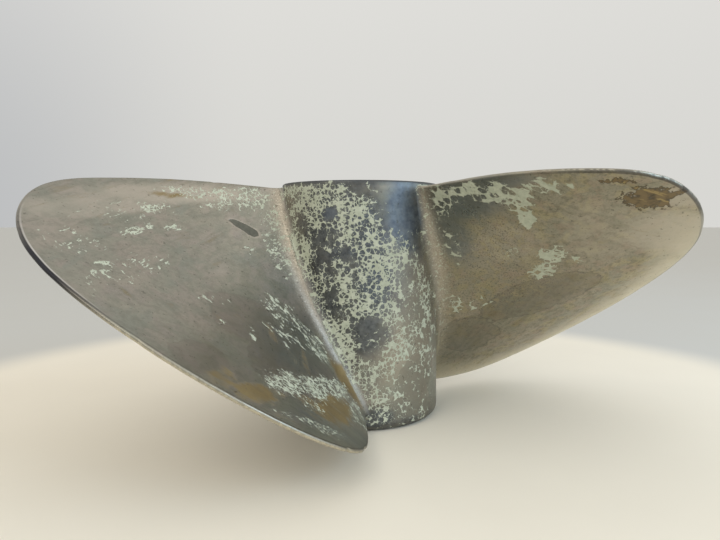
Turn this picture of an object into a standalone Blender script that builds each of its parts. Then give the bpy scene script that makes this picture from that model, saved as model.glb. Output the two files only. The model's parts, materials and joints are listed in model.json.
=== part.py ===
"""A left-handed three-bladed ship propeller, cast in one piece: a long hub with a tapered, keyed shaft bore,
and three wide raked blades of high pitch that run into the hub through root fillets.

Metres, +Z up along the shaft axis. The hub stands on its forward face, and the origin is the centre of mass."""

import math

import bmesh
import bpy
import numpy as np
from mathutils import Matrix

# Driving dimensions of the whole propeller
BLADE_COUNT = 3
DIAMETER = 0.500
TIP_RADIUS = DIAMETER / 2
CENTRE_OF_MASS_HEIGHT = 0.0986  # above the hub's forward face
HAND = -1  # a left-handed screw: going up the blade, the angle falls

# Hub, measured up from its forward face
HUB_LENGTH = 0.1875
HUB_FORWARD_RADIUS = 0.0645
HUB_AFT_RADIUS = 0.0638
FORWARD_EDGE_ROUND = 0.0065
AFT_EDGE_ROUND = 0.0016
HUB_STEPS = 96

# Shaft bore with a 1 in 12 taper, and its keyway
BORE_FORWARD_RADIUS = 0.030
BORE_TAPER = 1 / 12
BORE_CHAMFER = 0.0015
KEYWAY_WIDTH = 0.016
KEYWAY_DEPTH = 0.006
KEYWAY_ANGLE = math.radians(90)

# Blade surface: a helix whose pitch grows a little to the tip, on a reference line raked aft
ROOT_PITCH = 0.784
TIP_PITCH = 0.816
TIP_RAKE = 0.0200
RAKE_POWER = 2.3
FIRST_BLADE_ANGLE = math.radians(235.2)

# Blade outline as (radius, height above the forward face), from one root round the tip to the other
ROOT_RADIUS = 0.064
LEADING_EDGE = ((ROOT_RADIUS, 0.0127), (0.100, 0.0122), (0.145, 0.0180), (0.194, 0.0475), (0.233, 0.1040))
TIP_HEIGHT = 0.1495
TRAILING_EDGE = ((0.233, 0.1815), (0.194, 0.1888), (0.131, 0.1885), (ROOT_RADIUS, 0.1832))

# Blade sections: a flat driving face, an arched back, and blunt rounded edges
ROOT_THICKNESS = 0.0105
TIP_THICKNESS = 0.0042
EDGE_THICKNESS = 0.0029
ROOT_FILLET = 0.0100
LEADING_END_FILLET = 0.0035
TRAILING_END_FILLET = 0.0015
ROOT_DEPTH = 0.0050
SHORTEST_FLAT_SHARE = 0.3

# Mesh steps of a blade
CHORD_STEPS = 14
OUTER_STATIONS = (0.11, 0.17, 0.23, 0.30, 0.38, 0.46, 0.54, 0.62, 0.70, 0.78, 0.86, 0.92)
FILLET_STATIONS = (1.0, 0.62, 0.34, 0.15, 0.04)
TIP_STATION = 0.05


def smooth_through(xs, ys):
    """A natural cubic spline through the points, as a function."""
    xs = np.array(xs)
    ys = np.array(ys)
    gaps = np.diff(xs)
    slopes = np.diff(ys) / gaps
    system = np.eye(len(xs))
    right = np.zeros(len(xs))
    for i in range(1, len(xs) - 1):
        system[i, i - 1 : i + 2] = gaps[i - 1], 2 * (gaps[i - 1] + gaps[i]), gaps[i]
        right[i] = 6 * (slopes[i] - slopes[i - 1])
    bends = np.linalg.solve(system, right)

    def value(x):
        i = int(np.clip(np.searchsorted(xs, x) - 1, 0, len(gaps) - 1))
        a = (xs[i + 1] - x) / gaps[i]
        b = 1 - a
        bend = ((a**3 - a) * bends[i] + (b**3 - b) * bends[i + 1]) * gaps[i] ** 2 / 6
        return float(a * ys[i] + b * ys[i + 1] + bend)

    return value


def way_from_tip(radius):
    """0 at the tip and 1 at the root, with the square root that makes the tip round."""
    return math.sqrt(max(0.0, (TIP_RADIUS - radius) / (TIP_RADIUS - ROOT_RADIUS)))


def outline():
    """The outline's height as a function of the way from the tip, negative along the leading edge."""
    ways = [-way_from_tip(radius) for radius, _ in LEADING_EDGE] + [0.0]
    ways += [way_from_tip(radius) for radius, _ in TRAILING_EDGE]
    heights = [height for _, height in LEADING_EDGE] + [TIP_HEIGHT]
    heights += [height for _, height in TRAILING_EDGE]
    return smooth_through(ways, heights)


def blade_point(radius, height, out):
    """A point of the blade, out metres off its helix towards the driving face."""
    share = (radius - ROOT_RADIUS) / (TIP_RADIUS - ROOT_RADIUS)
    pitch = ROOT_PITCH + (TIP_PITCH - ROOT_PITCH) * share
    rake = TIP_RAKE * max(0.0, share) ** RAKE_POWER
    turn = HAND * 2 * math.pi / pitch * (height - HUB_LENGTH / 2 - rake)
    helix = math.atan2(pitch, 2 * math.pi * radius)
    angle = FIRST_BLADE_ANGLE + turn - HAND * out * math.sin(helix) / radius
    z = height + out * math.cos(helix) - CENTRE_OF_MASS_HEIGHT
    return radius * math.cos(angle), radius * math.sin(angle), z


def blade_section(radius, low, high, flare):
    """The closed loop of one section, from the leading edge along the face and back along the arched back."""
    out_share = min(1.0, max(0.0, (radius - ROOT_RADIUS) / (TIP_RADIUS - ROOT_RADIUS)))
    thickness = ROOT_THICKNESS + (TIP_THICKNESS - ROOT_THICKNESS) * out_share
    half_edge = EDGE_THICKNESS / 2
    low_end = LEADING_END_FILLET * flare / ROOT_FILLET
    high_end = TRAILING_END_FILLET * flare / ROOT_FILLET
    middle = (low + high) / 2
    half = (high - low) / 2
    half_flat = max(half - half_edge, half * SHORTEST_FLAT_SHARE)
    shares = [math.sin(math.pi * (i / CHORD_STEPS - 0.5)) for i in range(CHORD_STEPS + 1)]
    face = []
    back = []
    for s in shares:
        end = (low_end * (1 - s) + high_end * (1 + s)) / 2
        widened = flare + (end - flare) * s**4
        arch = (thickness - EDGE_THICKNESS) * (1 - s * s)
        height = middle + s * half_flat
        face.append(blade_point(radius, height, half_edge + widened))
        back.append(blade_point(radius, height, -half_edge - arch - widened))
    nose_low = blade_point(radius, low - low_end, 0)
    nose_high = blade_point(radius, high + high_end, 0)
    return [nose_low, *face, nose_high, *reversed(back)]


def blade_sections():
    """The sections from inside the hub to the tip."""
    edge = outline()
    root_low, root_high = edge(-1.0), edge(1.0)
    loops = [blade_section(ROOT_RADIUS - ROOT_DEPTH, root_low, root_high, ROOT_FILLET)]
    for share in reversed(FILLET_STATIONS):
        rise = share * ROOT_FILLET
        flare = ROOT_FILLET - math.sqrt(ROOT_FILLET**2 - (ROOT_FILLET - rise) ** 2)
        way = way_from_tip(ROOT_RADIUS + rise)
        loops.append(blade_section(ROOT_RADIUS + rise, edge(-way), edge(way), flare))
    for way in (*reversed(OUTER_STATIONS), TIP_STATION):
        radius = TIP_RADIUS - (TIP_RADIUS - ROOT_RADIUS) * way**2
        if radius > ROOT_RADIUS + ROOT_FILLET:
            loops.append(blade_section(radius, edge(-way), edge(way), 0.0))
    return loops


def blade_mesh():
    """One blade as a closed loft through its sections, which no primitive or modifier makes."""
    model = bmesh.new()
    rings = [[model.verts.new(point) for point in loop] for loop in blade_sections()]
    for inner, outer in zip(rings, rings[1:]):
        for i in range(len(inner)):
            j = (i + 1) % len(inner)
            model.faces.new((inner[i], inner[j], outer[j], outer[i]))
    model.faces.new(rings[0])
    model.faces.new(rings[-1])
    bmesh.ops.recalc_face_normals(model, faces=model.faces)
    bmesh.ops.triangulate(model, faces=model.faces)
    mesh = bpy.data.meshes.new("blade")
    model.to_mesh(mesh)
    model.free()
    return mesh


def rounded_corner(centre_radius, centre_height, size, first, last, steps):
    """Points of a corner round in the turned profile."""
    angles = [first + (last - first) * i / steps for i in range(steps + 1)]
    return [(centre_radius + size * math.cos(a), centre_height + size * math.sin(a)) for a in angles]


def hub_profile():
    """The hub's closed turned outline as (radius, height): down its outer side and up its tapered bore."""
    bore_aft = BORE_FORWARD_RADIUS - BORE_TAPER * HUB_LENGTH / 2
    aft = rounded_corner(
        HUB_AFT_RADIUS - AFT_EDGE_ROUND, HUB_LENGTH - AFT_EDGE_ROUND, AFT_EDGE_ROUND, math.pi / 2, 0, 3
    )
    forward = rounded_corner(
        HUB_FORWARD_RADIUS - FORWARD_EDGE_ROUND, FORWARD_EDGE_ROUND, FORWARD_EDGE_ROUND, 0, -math.pi / 2, 6
    )
    bore = [
        (BORE_FORWARD_RADIUS + BORE_CHAMFER, 0),
        (BORE_FORWARD_RADIUS, BORE_CHAMFER),
        (bore_aft, HUB_LENGTH - BORE_CHAMFER),
        (bore_aft + BORE_CHAMFER, HUB_LENGTH),
    ]
    return aft + forward + bore


def material(name, colour, roughness, metallic):
    made = bpy.data.materials.new(name)
    made.use_nodes = True
    shader = made.node_tree.nodes["Principled BSDF"]
    shader.inputs["Base Color"].default_value = (*colour, 1)
    shader.inputs["Roughness"].default_value = roughness
    shader.inputs["Metallic"].default_value = metallic
    return made


def add_hub(collection, bronze):
    """The turned hub, which becomes the whole casting once the blades are joined to it."""
    profile = hub_profile()
    mesh = bpy.data.meshes.new("propeller")
    points = [(radius, 0, height - CENTRE_OF_MASS_HEIGHT) for radius, height in profile]
    edges = [(i, (i + 1) % len(points)) for i in range(len(points))]
    mesh.from_pydata(points, edges, [])
    mesh.materials.append(bronze)
    hub = bpy.data.objects.new("propeller", mesh)
    collection.objects.link(hub)
    turned = hub.modifiers.new("turned", "SCREW")
    turned.axis = "Z"
    turned.angle = 2 * math.pi
    turned.steps = HUB_STEPS
    turned.render_steps = HUB_STEPS
    turned.use_merge_vertices = True
    turned.merge_threshold = 0.00001
    turned.use_smooth_shade = True
    return hub


def add_keyway_cutter(collection):
    """A bar along the bore's wall, tilted with the taper, that cuts the keyway."""
    model = bmesh.new()
    length = HUB_LENGTH * 1.2
    height = 2 * KEYWAY_DEPTH
    bmesh.ops.create_cube(model, size=1)
    bmesh.ops.scale(model, vec=(height, KEYWAY_WIDTH, length), verts=model.verts)
    mesh = bpy.data.meshes.new("keyway_cutter")
    model.to_mesh(mesh)
    model.free()
    cutter = bpy.data.objects.new("keyway_cutter", mesh)
    collection.objects.link(cutter)
    middle_radius = BORE_FORWARD_RADIUS - BORE_TAPER * HUB_LENGTH / 4
    tilt = -math.atan(BORE_TAPER / 2)
    middle_height = HUB_LENGTH / 2 - CENTRE_OF_MASS_HEIGHT
    cutter.matrix_world = (
        Matrix.Rotation(KEYWAY_ANGLE, 4, "Z")
        @ Matrix.Translation((middle_radius, 0, middle_height))
        @ Matrix.Rotation(tilt, 4, "Y")
    )
    return cutter


def hide_tool(tool):
    tool.hide_render = True
    tool.display_type = "WIRE"


def main():
    for old in list(bpy.data.objects):
        bpy.data.objects.remove(old)
    parts = bpy.data.collections.new("ship_propeller")
    tools = bpy.data.collections.new("joining_tools")
    for collection in (parts, tools):
        bpy.context.scene.collection.children.link(collection)
    bronze = material("tarnished_bronze", (0.36, 0.33, 0.26), 0.38, 1.0)
    propeller = add_hub(parts, bronze)
    mesh = blade_mesh()
    for number in range(BLADE_COUNT):
        blade = bpy.data.objects.new(f"blade_{number + 1}", mesh)
        blade.rotation_euler = (0, 0, 2 * math.pi * number / BLADE_COUNT)
        tools.objects.link(blade)
        hide_tool(blade)
        cast = propeller.modifiers.new(f"cast_blade_{number + 1}", "BOOLEAN")
        cast.operation = "UNION"
        cast.object = blade
    keyway = add_keyway_cutter(tools)
    hide_tool(keyway)
    slot = propeller.modifiers.new("keyway", "BOOLEAN")
    slot.operation = "DIFFERENCE"
    slot.object = keyway


main()
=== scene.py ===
"""The looks of a worn, left-handed three-bladed ship propeller, one bronze casting that stands on its hub.

Metres throughout. Heights are above the hub's forward face, on which it stands, and angles are round the
shaft."""

import json
import math

import bmesh
import bpy
import numpy as np
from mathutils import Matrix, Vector, noise
from mathutils.geometry import delaunay_2d_cdt


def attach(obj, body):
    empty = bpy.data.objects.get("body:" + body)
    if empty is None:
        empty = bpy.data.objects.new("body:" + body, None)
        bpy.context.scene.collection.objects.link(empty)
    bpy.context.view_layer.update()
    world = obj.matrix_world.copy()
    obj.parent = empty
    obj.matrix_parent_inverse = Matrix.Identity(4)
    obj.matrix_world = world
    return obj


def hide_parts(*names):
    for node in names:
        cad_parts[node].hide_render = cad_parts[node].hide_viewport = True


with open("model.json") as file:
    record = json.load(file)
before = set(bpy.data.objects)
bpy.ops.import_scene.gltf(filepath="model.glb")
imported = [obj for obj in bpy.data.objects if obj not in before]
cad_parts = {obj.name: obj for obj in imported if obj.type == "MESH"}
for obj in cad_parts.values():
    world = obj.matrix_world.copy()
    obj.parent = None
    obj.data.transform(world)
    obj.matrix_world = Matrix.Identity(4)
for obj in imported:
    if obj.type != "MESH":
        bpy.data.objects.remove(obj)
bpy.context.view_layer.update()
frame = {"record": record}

# The camera that took the photo: half a metre in front of the shaft, a little over the blades, and tilted
# down by a few degrees. Its place was found by fitting the hub's circles and the outlines of the blades.
faces = {mount["name"]: mount["pos_m"][2] for mount in frame["record"]["mounts"]}
foot = faces["forward_face"]
photo_width, focal_pixels = 720, 587.4
camera_distance, camera_height, camera_tilt = 0.4918, 0.1569, math.radians(4.657)
nearest_seen = 0.01
camera = bpy.data.objects.new("photo_camera", bpy.data.cameras.new("photo_camera"))
camera.data.lens = camera.data.sensor_width * focal_pixels / photo_width
camera.data.clip_start = nearest_seen
camera.location = (0, -camera_distance, foot + camera_height)
camera.rotation_euler = (math.pi / 2 - camera_tilt, 0, 0)
bpy.context.scene.collection.objects.link(camera)
bpy.context.scene.camera = camera
bpy.context.scene.view_settings.view_transform = "Standard"

# The floor: flat cream paint with faint clouds in it, which fades into a light grey sweep about 0.4 m from
# the shaft, all round. It is a stage to stand on and no part of the propeller.
floor_radius, floor_sides = 20.0, 96
cream, sweep_grey, cloud_tone = (0.83, 0.772, 0.650), (0.53, 0.525, 0.49), (0.5, 0.45, 0.36)
cream_end, grey_start = 0.38, 0.47


class Shade:
    """A value that runs through a material's nodes. Arithmetic on it adds Math nodes."""

    tree = None

    def __init__(self, socket):
        self.socket = socket

    @classmethod
    def node(cls, kind, settings=None, sockets=None, output=0):
        """Adds a node, its settings first and then its sockets' values or links, and returns an output."""
        made = cls.tree.nodes.new("ShaderNode" + kind)
        for name, value in (settings or {}).items():
            setattr(made, name, value)
        for name, value in (sockets or {}).items():
            if isinstance(value, cls):
                cls.tree.links.new(value.socket, made.inputs[name])
            else:
                made.inputs[name].default_value = value
        return cls(made.outputs[output])

    @classmethod
    def math(cls, operation, *values):
        return cls.node("Math", {"operation": operation}, dict(enumerate(values)))

    def __add__(self, other):
        return self.math("ADD", self, other)

    def __sub__(self, other):
        return self.math("SUBTRACT", self, other)

    def __rsub__(self, other):
        return self.math("SUBTRACT", other, self)

    def __mul__(self, other):
        return self.math("MULTIPLY", self, other)

    __radd__ = __add__
    __rmul__ = __mul__


def rise(value, start, end):
    """0 up to start, 1 from end on, and smooth between them."""
    sockets = {"Value": value, "From Min": start, "From Max": end}
    return Shade.node("MapRange", {"interpolation_type": "SMOOTHSTEP"}, sockets)


def blend(share, first, second):
    """Two colours mixed by a share."""
    first, second = (value if isinstance(value, Shade) else (*value, 1) for value in (first, second))
    return Shade.node("Mix", {"data_type": "RGBA"}, {0: share, 6: first, 7: second}, output=2)


def feed(shader, sockets):
    """Links worked-out values to a shader's sockets, and sets plain numbers on them directly."""
    for name, value in sockets.items():
        if isinstance(value, Shade):
            Shade.tree.links.new(value.socket, shader.inputs[name])
        else:
            shader.inputs[name].default_value = value


floor_shape = bmesh.new()
bmesh.ops.create_circle(floor_shape, cap_ends=True, segments=floor_sides, radius=floor_radius)
floor_mesh = bpy.data.meshes.new("pale_floor")
floor_shape.to_mesh(floor_mesh)
floor_shape.free()
floor = bpy.data.objects.new("pale_floor", floor_mesh)
floor.location.z = foot
bpy.context.scene.collection.objects.link(floor)
pale_paint = bpy.data.materials.new("pale_floor_paint")
pale_paint.use_nodes = True
Shade.tree = pale_paint.node_tree
floor_place = Shade.node("TexCoord", output="Object")
from_shaft = Shade.node("VectorMath", {"operation": "LENGTH"}, {0: floor_place}, output="Value")
floor_clouds = Shade.node("TexNoise", {}, {"Vector": floor_place, "Scale": 7.0, "Detail": 3.0})
floor_colour = blend(rise(from_shaft, cream_end, grey_start), cream, sweep_grey)
floor_colour = blend(0.05 * rise(floor_clouds, 0.35, 0.65), floor_colour, cloud_tone)
feed(pale_paint.node_tree.nodes["Principled BSDF"], {"Base Color": floor_colour, "Roughness": 0.6})
floor_mesh.materials.append(pale_paint)

# The light: a pale room, brightest overhead and darker to the left, with a cool window to the right of the
# camera and a warm lamp high on its left.
front_ceiling, back_ceiling = (1.10, 1.08, 1.04), (0.81, 0.80, 0.77)
level_colour, left_colour = (0.685, 0.68, 0.65), (0.50, 0.51, 0.52)
window_colour, lamp_colour = (0.50, 0.73, 1.0), (1.0, 0.92, 0.80)
room = bpy.data.worlds.new("pale_room")
bpy.context.scene.world = room
room.use_nodes = True
Shade.tree = room.node_tree
direction = Shade.node("TexCoord")
rightward, backward, upward = (Shade.node("SeparateXYZ", {}, {0: direction}, output=axis) for axis in "XYZ")
walls = blend(rise(rightward, -0.15, -0.60), level_colour, left_colour)
ceiling = blend(rise(backward, -0.3, 0.4), front_ceiling, back_ceiling)
feed(room.node_tree.nodes["Background"], {"Color": blend(rise(upward, 0.0, 0.8), walls, ceiling)})


def add_light(name, place, size, power, colour):
    """A soft rectangular lamp at a place, turned to face the propeller."""
    lamp = bpy.data.lights.new(name, "AREA")
    lamp.shape = "RECTANGLE"
    lamp.size, lamp.size_y = size
    lamp.energy = power
    lamp.color = colour
    light = bpy.data.objects.new(name, lamp)
    light.location = place
    light.rotation_euler = (-Vector(place)).to_track_quat("-Z", "Y").to_euler()
    bpy.context.scene.collection.objects.link(light)


add_light("window", place=(1.35, -0.70, 0.62), size=(1.3, 1.0), power=12, colour=window_colour)
add_light("lamp", place=(-0.9, -1.3, 1.3), size=(0.9, 0.9), power=6, colour=lamp_colour)

# The blades: three wide ones, each a screw surface raked aft. The driving face is flat along the screw, the
# back is arched, the edges are blunt, and both sides run into the hub through the mould's root fillet.
blade_count = 3
first_blade = math.radians(235.2)
tip_radius, root_radius, fillet = 0.250, 0.064, 0.010
root_pitch, tip_pitch = 0.784, 0.816
tip_rake, rake_power = 0.020, 2.3
root_thickness, tip_thickness, edge_half = 0.0105, 0.0042, 0.00145
edge_round, edge_bluntness = 0.0015, 2.6
fillet_at_leading_end, fillet_at_trailing_end = 0.35, 0.15
leading_edge = ((root_radius, 0.0127), (0.100, 0.0122), (0.145, 0.0180), (0.194, 0.0475), (0.233, 0.1040))
tip_height = 0.1495
trailing_edge = ((0.233, 0.1815), (0.194, 0.1888), (0.131, 0.1885), (root_radius, 0.1832))
hub_length = faces["aft_face"] - foot
hub_forward_radius, hub_aft_radius = 0.0645, 0.0638
smallest_chord = 0.000001


def natural_spline(xs, ys):
    """A smooth curve through a few points, as a function that takes arrays."""
    xs, ys = np.array(xs), np.array(ys)
    gaps = np.diff(xs)
    slopes = np.diff(ys) / gaps
    system, known = np.eye(len(xs)), np.zeros(len(xs))
    for i in range(1, len(xs) - 1):
        system[i, i - 1 : i + 2] = gaps[i - 1], 2 * (gaps[i - 1] + gaps[i]), gaps[i]
        known[i] = 6 * (slopes[i] - slopes[i - 1])
    bends = np.linalg.solve(system, known)

    def value(x):
        i = np.clip(np.searchsorted(xs, x) - 1, 0, len(gaps) - 1)
        a = (xs[i + 1] - x) / gaps[i]
        b = 1 - a
        bend = ((a**3 - a) * bends[i] + (b**3 - b) * bends[i + 1]) * gaps[i] ** 2 / 6
        return a * ys[i] + b * ys[i + 1] + bend

    return value


def way_from_tip(radius):
    """0 at the tip and 1 at the root, measured so that the outline's curve stays round at the tip."""
    return np.sqrt(np.clip((tip_radius - radius) / (tip_radius - root_radius), 0, 1))


outline_ways = [-way_from_tip(radius) for radius, _ in leading_edge]
outline_ways += [0] + [way_from_tip(radius) for radius, _ in trailing_edge]
outline_heights = [height for _, height in (*leading_edge, (tip_radius, tip_height), *trailing_edge)]
edge_height = natural_spline(outline_ways, outline_heights)


def blade_angle(number):
    """How far round the shaft a blade stands from the first."""
    return 2 * math.pi * number / blade_count


def pitch_at(radius):
    return root_pitch + (tip_pitch - root_pitch) * (radius - root_radius) / (tip_radius - root_radius)


def screw_slope(radius):
    """The sine of the angle at which the blade climbs at a radius."""
    return np.sin(np.arctan2(pitch_at(radius), 2 * math.pi * radius))


def skin_radius(height):
    """The hub's radius at a height."""
    return hub_forward_radius + (hub_aft_radius - hub_forward_radius) * height / hub_length


def off_the_hub(reach):
    """How far a point stands off the hub and how wide its fillet flares, by its reach along the surface."""
    turn = np.clip((reach - root_radius - fillet) / fillet + math.pi / 2, 0, math.pi / 2)
    stand = np.where(reach < root_radius + fillet, fillet * (1 - np.cos(turn)), reach - root_radius)
    return stand, fillet * (1 - np.sin(turn))


def chord_ends(reach):
    """The heights of the leading and trailing edges at a reach, with the fillet's spread at the root."""
    stand, flare = off_the_hub(reach)
    way = way_from_tip(root_radius + stand)
    low = edge_height(-way) - fillet_at_leading_end * flare
    high = edge_height(way) + fillet_at_trailing_end * flare
    return low, high


# The blade's mesh: laid out flat, in reach along the surface and height, with close rows along the edge,
# and then wrapped on its screw. One flat sheet serves the face and the back of all three blades.
fillet_rows = 7
mesh_step = fillet * math.pi / 2 / fillet_rows
root_reach = root_radius + fillet - fillet * math.pi / 2
smallest_triangle = 1e-9
same_point = 1e-9
edge_rows = (0.00005, 0.0002, 0.00045, 0.0008, 0.0013, 0.0021, 0.0033)
edge_spacing, tip_clearance, root_clearance = 0.0016, 0.002, 0.6 * mesh_step
fillet_samples, blade_samples = 60, 1500


def edge_line():
    """Even points along the blade's edge, from its root's leading end round the tip to the trailing end."""
    fillet_reach = np.linspace(root_reach, root_radius + fillet, fillet_samples)
    blade_way = np.linspace(way_from_tip(root_radius + fillet), 0, blade_samples)
    reach = np.concatenate([fillet_reach, tip_radius - (tip_radius - root_radius) * blade_way[1:] ** 2])
    low, high = chord_ends(reach)
    line = np.concatenate([np.stack([reach, low], 1), np.stack([reach, high], 1)[-2::-1]])
    steps = np.diff(line, axis=0)
    steps[:, 1] /= screw_slope(line[1:, 0])
    along = np.concatenate([[0], np.cumsum(np.hypot(*steps.T))])
    even = np.linspace(0, along[-1], int(along[-1] / edge_spacing))
    return np.stack([np.interp(even, along, line[:, 0]), np.interp(even, along, line[:, 1])], 1), even


def inside(points, ring):
    """Which flat points lie inside a closed ring."""
    result = np.zeros(len(points), bool)
    for (x1, y1), (x2, y2) in zip(ring, np.roll(ring, -1, axis=0)):
        crosses = (y1 > points[:, 1]) != (y2 > points[:, 1])
        if y1 != y2:
            result ^= crosses & (points[:, 0] < (x2 - x1) * (points[:, 1] - y1) / (y2 - y1) + x1)
    return result


def flat_triangles(points, rim, hole=None):
    """Delaunay triangles over flat points, inside a rim of point numbers and outside a hole's."""
    rings = [rim] + ([hole] if hole is not None else [])
    fixed = [(int(a), int(b)) for ring in rings for a, b in zip(ring, np.roll(ring, -1))]
    found = delaunay_2d_cdt([Vector(point) for point in points], fixed, [], 0, same_point)
    numbers = np.array([group[0] for group in found[3]])
    triangles = numbers[np.array(found[2])]
    corners = points[triangles]
    first_side, second_side = (corners[:, 1] - corners[:, 0]).T, (corners[:, 2] - corners[:, 0]).T
    area = abs(first_side[0] * second_side[1] - first_side[1] * second_side[0]) / 2
    middles = corners.mean(1)
    wanted = inside(middles, points[rim]) & (area > smallest_triangle)
    if hole is not None:
        wanted &= ~inside(middles, points[hole])
    return triangles[wanted]


def nearest_on_line(points, line, along):
    """The distance over the blade from each point to the edge line, and the length along it there."""
    distance, place = np.full(len(points), 1.0), np.zeros(len(points))
    stretch = 1 / screw_slope(np.clip(points[:, 0], root_radius, tip_radius))
    for start, end, begin, finish in zip(line, line[1:], along, along[1:]):
        run_x, run_y = end[0] - start[0], (end[1] - start[1]) * stretch
        off_x, off_y = points[:, 0] - start[0], (points[:, 1] - start[1]) * stretch
        share = np.clip((off_x * run_x + off_y * run_y) / (run_x**2 + run_y**2), 0, 1)
        gap = np.hypot(off_x - share * run_x, off_y - share * run_y)
        nearer = gap < distance
        distance[nearer] = gap[nearer]
        place[nearer] = (begin + share * (finish - begin))[nearer]
    return distance, place


def row_on_the_hub():
    """The points where the fillet meets the hub, closer together near the two ends of the root."""
    low_end, high_end = chord_ends(np.array([root_reach]))
    slope = float(screw_slope(root_radius))
    ends = np.array(edge_rows) * slope
    count = int((high_end[0] - low_end[0] - 2 * ends[-1]) / (mesh_step * slope))
    middle = np.linspace(low_end[0] + ends[-1], high_end[0] - ends[-1], count)[1:-1]
    heights = np.concatenate([low_end[0] + ends, middle, high_end[0] - ends[::-1]])
    return np.stack([np.full(len(heights), root_reach), heights], 1)


def points_within():
    """Rows of points over the rest of the blade, every other one shifted by half a step."""
    grid = []
    for number, reach in enumerate(np.arange(root_reach + mesh_step, tip_radius - tip_clearance, mesh_step)):
        low_edge, high_edge = chord_ends(np.array([reach]))
        step = mesh_step * float(screw_slope(max(reach, root_radius)))
        heights = np.arange(low_edge[0] + step * (0.5 + 0.5 * (number % 2)), high_edge[0], step)
        grid.append(np.stack([np.full(len(heights), reach), heights], 1))
    grid = np.concatenate(grid)
    return grid[nearest_on_line(grid, edge_points, edge_lengths)[0] > edge_rows[-1] + edge_spacing]


edge_points, edge_lengths = edge_line()
climb = screw_slope(np.clip(edge_points[:, 0], root_radius, tip_radius))
run = np.gradient(edge_points, axis=0)
run[:, 1] /= climb
inward = np.stack([-run[:, 1], run[:, 0]], 1) / np.hypot(*run.T)[:, None]
inward[:, 1] *= climb
rows = [edge_points + depth * inward for depth in edge_rows]
rows = [row[row[:, 0] > root_reach + root_clearance] for row in rows]
root_row = row_on_the_hub()
sheet = np.concatenate([edge_points, root_row, *rows, points_within()])
edge_numbers = np.arange(len(edge_points))
root_numbers = np.arange(len(edge_points), len(edge_points) + len(root_row))
sheet_triangles = flat_triangles(sheet, np.concatenate([edge_numbers, root_numbers[::-1]]))
edge_depth, edge_place = nearest_on_line(sheet, edge_points, edge_lengths)
edge_depth[edge_numbers] = 0

# The wear: use has left the edges slightly ragged and nicked, each blade's in its own way. A nick has its
# edge, the radius where it lies, its depth and half its width.
edge_wear, edge_wear_length, least_wear = 0.00022, 0.011, 0.15
wear_fade, unworn_root = 0.003, 0.012
pattern_step, pattern_start, nick_shift = 9.7, 0.3, 0.004
nicks = (
    ("leading", 0.185, 0.0012, 0.0022),
    ("leading", 0.165, 0.0016, 0.0018),
    ("leading", 0.139, 0.0009, 0.0030),
    ("trailing", 0.221, 0.0007, 0.0025),
    ("leading", 0.229, 0.0006, 0.0040),
    ("trailing", 0.118, 0.0006, 0.0020),
)
edge_half_way = int(np.argmax(edge_points[:, 0]))


def place_on_edge(side, radius):
    """The length along the edge line at which the edge passes a radius."""
    half = slice(0, edge_half_way) if side == "leading" else slice(edge_half_way, None)
    nearest = int(np.argmin(abs(edge_points[half, 0] - radius)))
    return edge_lengths[half][nearest]


def raggedness(place, number):
    return noise.noise(Vector((place / edge_wear_length, pattern_step * number, pattern_start)))


def worn_sheet(number):
    """The flat sheet with one blade's own wear and nicks pressed into its edge."""
    ragged_edge = np.array([raggedness(place, number) for place in edge_place])
    dent = edge_wear * np.clip(ragged_edge + least_wear, 0, None)
    for count, (side, radius, depth, half_width) in enumerate(nicks):
        if (count + number) % blade_count:
            place = place_on_edge(side, radius + nick_shift * number)
            dent = dent + depth * np.exp(-(((edge_place - place) / half_width) ** 2))
    off_the_root = (edge_place > unworn_root) * (edge_place < edge_lengths[-1] - unworn_root)
    dent = dent * np.exp(-edge_depth / wear_fade) * off_the_root
    way = np.stack([np.interp(edge_place, edge_lengths, inward[:, i]) for i in range(2)], 1)
    return sheet + way * dent[:, None]


def wrap_blade(number, side):
    """The sheet's points on one side of a blade, as radius, angle and height. Side 1 is the driving face."""
    reach, height = worn_sheet(number).T
    stand, flare = off_the_hub(reach)
    low_edge, high_edge = chord_ends(reach)
    chord = np.maximum(high_edge - low_edge, smallest_chord)
    share = np.clip((2 * height - low_edge - high_edge) / chord, -1, 1)
    out_share = stand / (tip_radius - root_radius)
    end_share = (fillet_at_leading_end * (1 - share) + fillet_at_trailing_end * (1 + share)) / 2
    nose = edge_half + end_share * flare
    bend = np.clip(edge_depth / (nose * edge_round / edge_half), 0, 1)
    half = nose * (1 - (1 - bend) ** edge_bluntness) ** (1 / edge_bluntness)
    half = half + flare * (1 - end_share) * (1 - share**4) * np.clip(edge_depth / nose, 0, 1)
    thickness = root_thickness + (tip_thickness - root_thickness) * out_share
    arch = (thickness - 2 * edge_half) * (1 - share**2) * np.clip(edge_depth / nose, 0, 1)
    out = half if side > 0 else -half - arch
    radius = root_radius + stand
    slope = np.arctan2(pitch_at(radius), 2 * math.pi * radius)
    rake = tip_rake * np.clip(out_share, 0, 1) ** rake_power
    turn = 2 * math.pi / pitch_at(radius) * (height - hub_length / 2 - rake)
    angle = first_blade + blade_angle(number) - turn + out * np.sin(slope) / radius
    height = height + out * np.cos(slope)
    on_the_skin = radius + (skin_radius(height) - root_radius) * np.clip(flare / fillet, 0, 1)
    return on_the_skin, angle, height


def to_points(radius, angle, height):
    return np.stack([radius * np.cos(angle), radius * np.sin(angle), height + foot], 1)


# The hub: a long cylinder with a trace of moulding taper, cast with the blades and turned at both ends.
# Each third of its skin is meshed flat round a blade's root, so that the fillets flow into it.
forward_round, aft_round = 0.0065, 0.0016
around = 144
lean_steps = 33
lattice = 2 * math.pi / around
skin_low, skin_high = forward_round, hub_length - aft_round
skin_row_height, fillet_clearance = 0.0028, 0.0018
lean = lean_steps * lattice / (skin_high - skin_low)
third_lag = math.radians(3)
far_from_edge = 0.05
SKIN, FACE, BACK, TURNED, BORE = range(5)


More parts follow.
